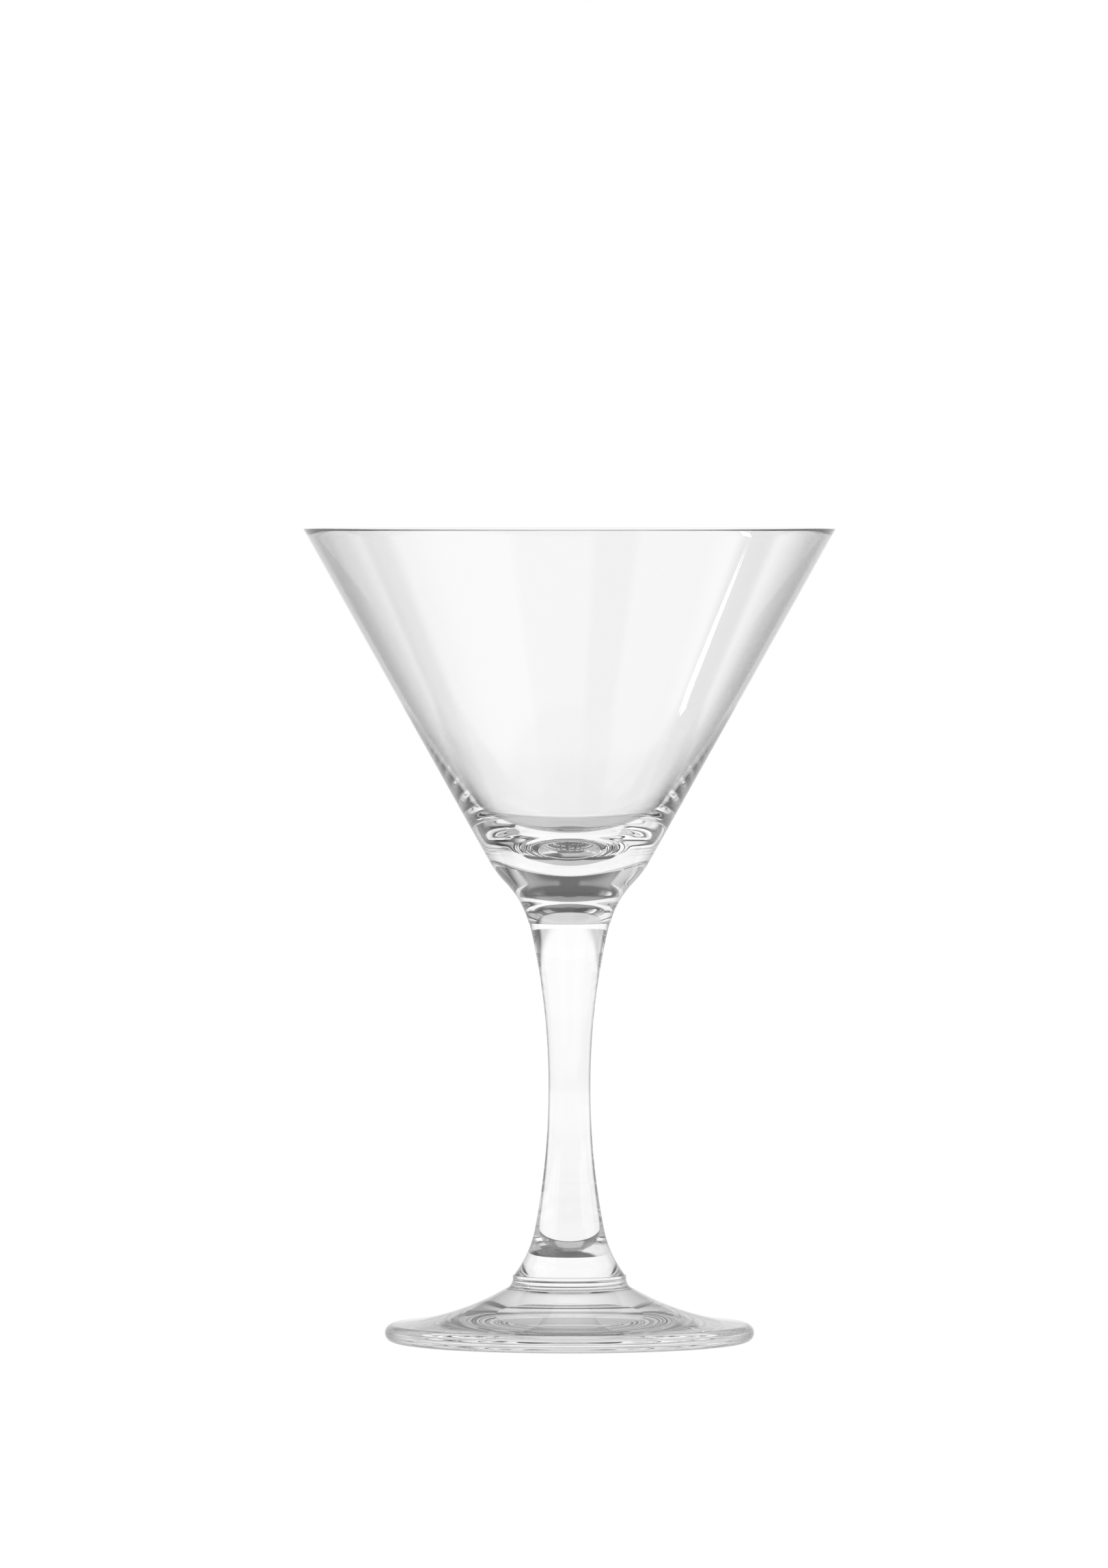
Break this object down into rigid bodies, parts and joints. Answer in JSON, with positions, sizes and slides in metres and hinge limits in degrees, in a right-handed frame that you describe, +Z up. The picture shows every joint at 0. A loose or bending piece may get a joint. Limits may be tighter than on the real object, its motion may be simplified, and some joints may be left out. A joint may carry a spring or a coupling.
{
  "type": "martini glass",
  "caption": "Clear crystal cocktail glass: a wide conical bowl with a solid base, a waisted drawn stem, a small stepped collar and a round spread foot.",
  "frame": {"origin": "on the table, under the middle of the foot", "axes": "+Z up, along the axis that every piece is turned about; the glass is the same all the way round, so +X and +Y mark no feature"},
  "size_m": [0.1078, 0.1078, 0.165],
  "materials": {
    "crystal": "clear and colourless, fire-polished"
  },
  "bodies": {
    "root": {"bowl": "crystal", "stem": "crystal", "collar": "crystal", "foot": "crystal"}
  },
  "joints": []
}
